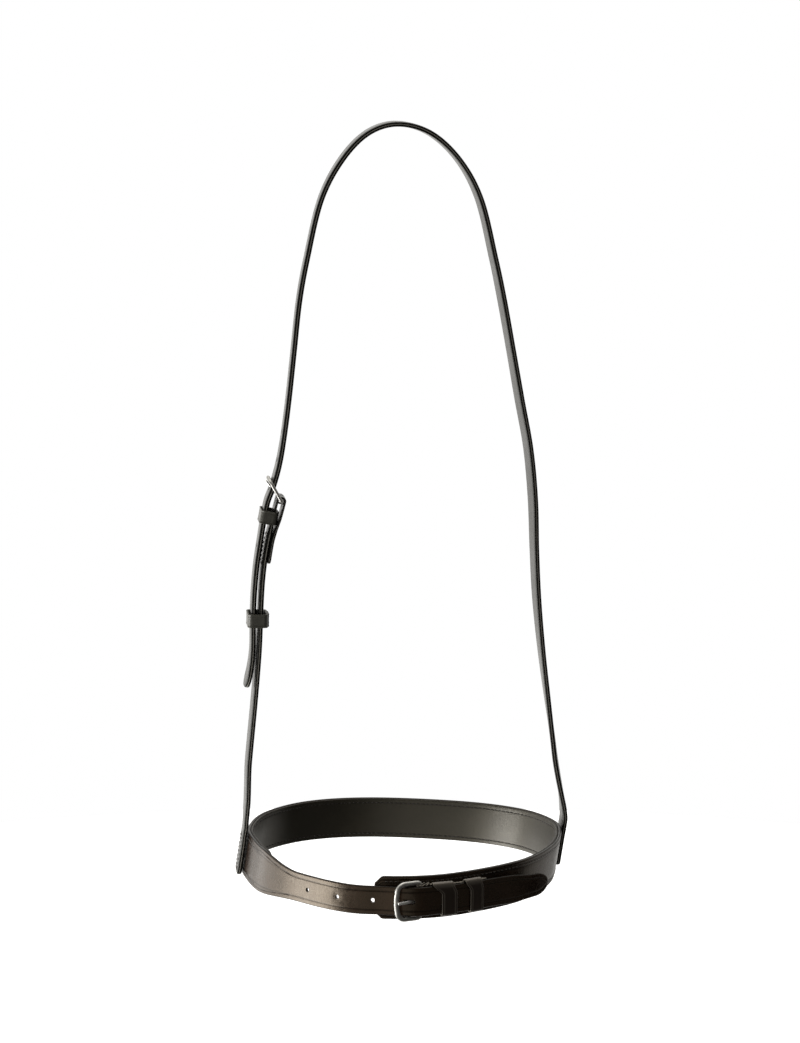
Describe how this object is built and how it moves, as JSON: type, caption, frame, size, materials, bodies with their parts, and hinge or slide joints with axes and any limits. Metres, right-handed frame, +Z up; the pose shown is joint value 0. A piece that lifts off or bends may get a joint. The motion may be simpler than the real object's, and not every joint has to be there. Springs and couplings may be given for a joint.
{
  "type": "cavesson noseband with sliphead",
  "caption": "Plain leather riding noseband: a lined nose and jaw band with a buckle, hanging from an adjustable strap over the horse's poll.",
  "frame": {"origin": "underside of the headpiece strap where it rests on the poll, midway across the strap's width", "axes": "+Z up along the hanging part, X across the head from one hanging point of the noseband to the other, -Y the jaw side with the buckle, +Y the nose side"},
  "size_m": [0.2144, 0.2171, 0.4872],
  "materials": {
    "bridle_leather": "dark brown, waxed, fine grain with a soft sheen",
    "lining_leather": "smooth dark olive-brown lining, matt",
    "satin_steel": "satin stainless steel",
    "linen_thread": "waxed linen thread"
  },
  "bodies": {
    "headpiece": {"head_strap": "bridle_leather", "cheek_strap": "bridle_leather", "cheek_fixed_keeper": "bridle_leather", "right_hanger_seam": "linen_thread", "left_hanger_seam": "linen_thread", "cheek_chape_seam": "linen_thread"},
    "noseband": {"nose_band": "bridle_leather", "nose_band_lining": "lining_leather", "front_buckle_chape": "bridle_leather", "front_keeper_near": "bridle_leather", "front_keeper_far": "bridle_leather", "front_chape_seam": "linen_thread", "upper_lining_seam": "linen_thread", "lower_lining_seam": "linen_thread"},
    "front_buckle": {"front_buckle_frame": "satin_steel"},
    "front_prong": {"front_buckle_prong": "satin_steel"},
    "cheek_buckle": {"cheek_buckle_frame": "satin_steel"},
    "cheek_prong": {"cheek_buckle_prong": "satin_steel"},
    "cheek_runner": {"cheek_running_keeper": "bridle_leather"}
  },
  "joints": [
    {"name": "noseband_swing", "type": "hinge", "parent": "headpiece", "child": "noseband", "pos_m": [0, 0, -0.4702], "axis": [1, 0, 0], "range_deg": [-30, 30], "stiffness_Nm_per_rad": 1, "springref_deg": -0.97},
    {"name": "front_frame_lift", "type": "hinge", "parent": "noseband", "child": "front_buckle", "pos_m": [-0.00131, -0.1247, -0.4708], "axis": [0, 0, 1], "range_deg": [0, 4]},
    {"name": "front_prong_lift", "type": "hinge", "parent": "front_buckle", "child": "front_prong", "pos_m": [-0.00131, -0.1247, -0.4708], "axis": [0, 0, 1], "range_deg": [0, 4]},
    {"name": "cheek_frame_lift", "type": "hinge", "parent": "headpiece", "child": "cheek_buckle", "pos_m": [-0.077, 0, -0.238], "axis": [0, -1, 0], "range_deg": [0, 3]},
    {"name": "cheek_prong_lift", "type": "hinge", "parent": "cheek_buckle", "child": "cheek_prong", "pos_m": [-0.077, 0, -0.238], "axis": [0, -1, 0], "range_deg": [0, 3]},
    {"name": "running_keeper_slide", "type": "slide", "parent": "headpiece", "child": "cheek_runner", "axis": [0.03, 0, 0.9996], "range_m": [-0.02, 0.024]}
  ]
}
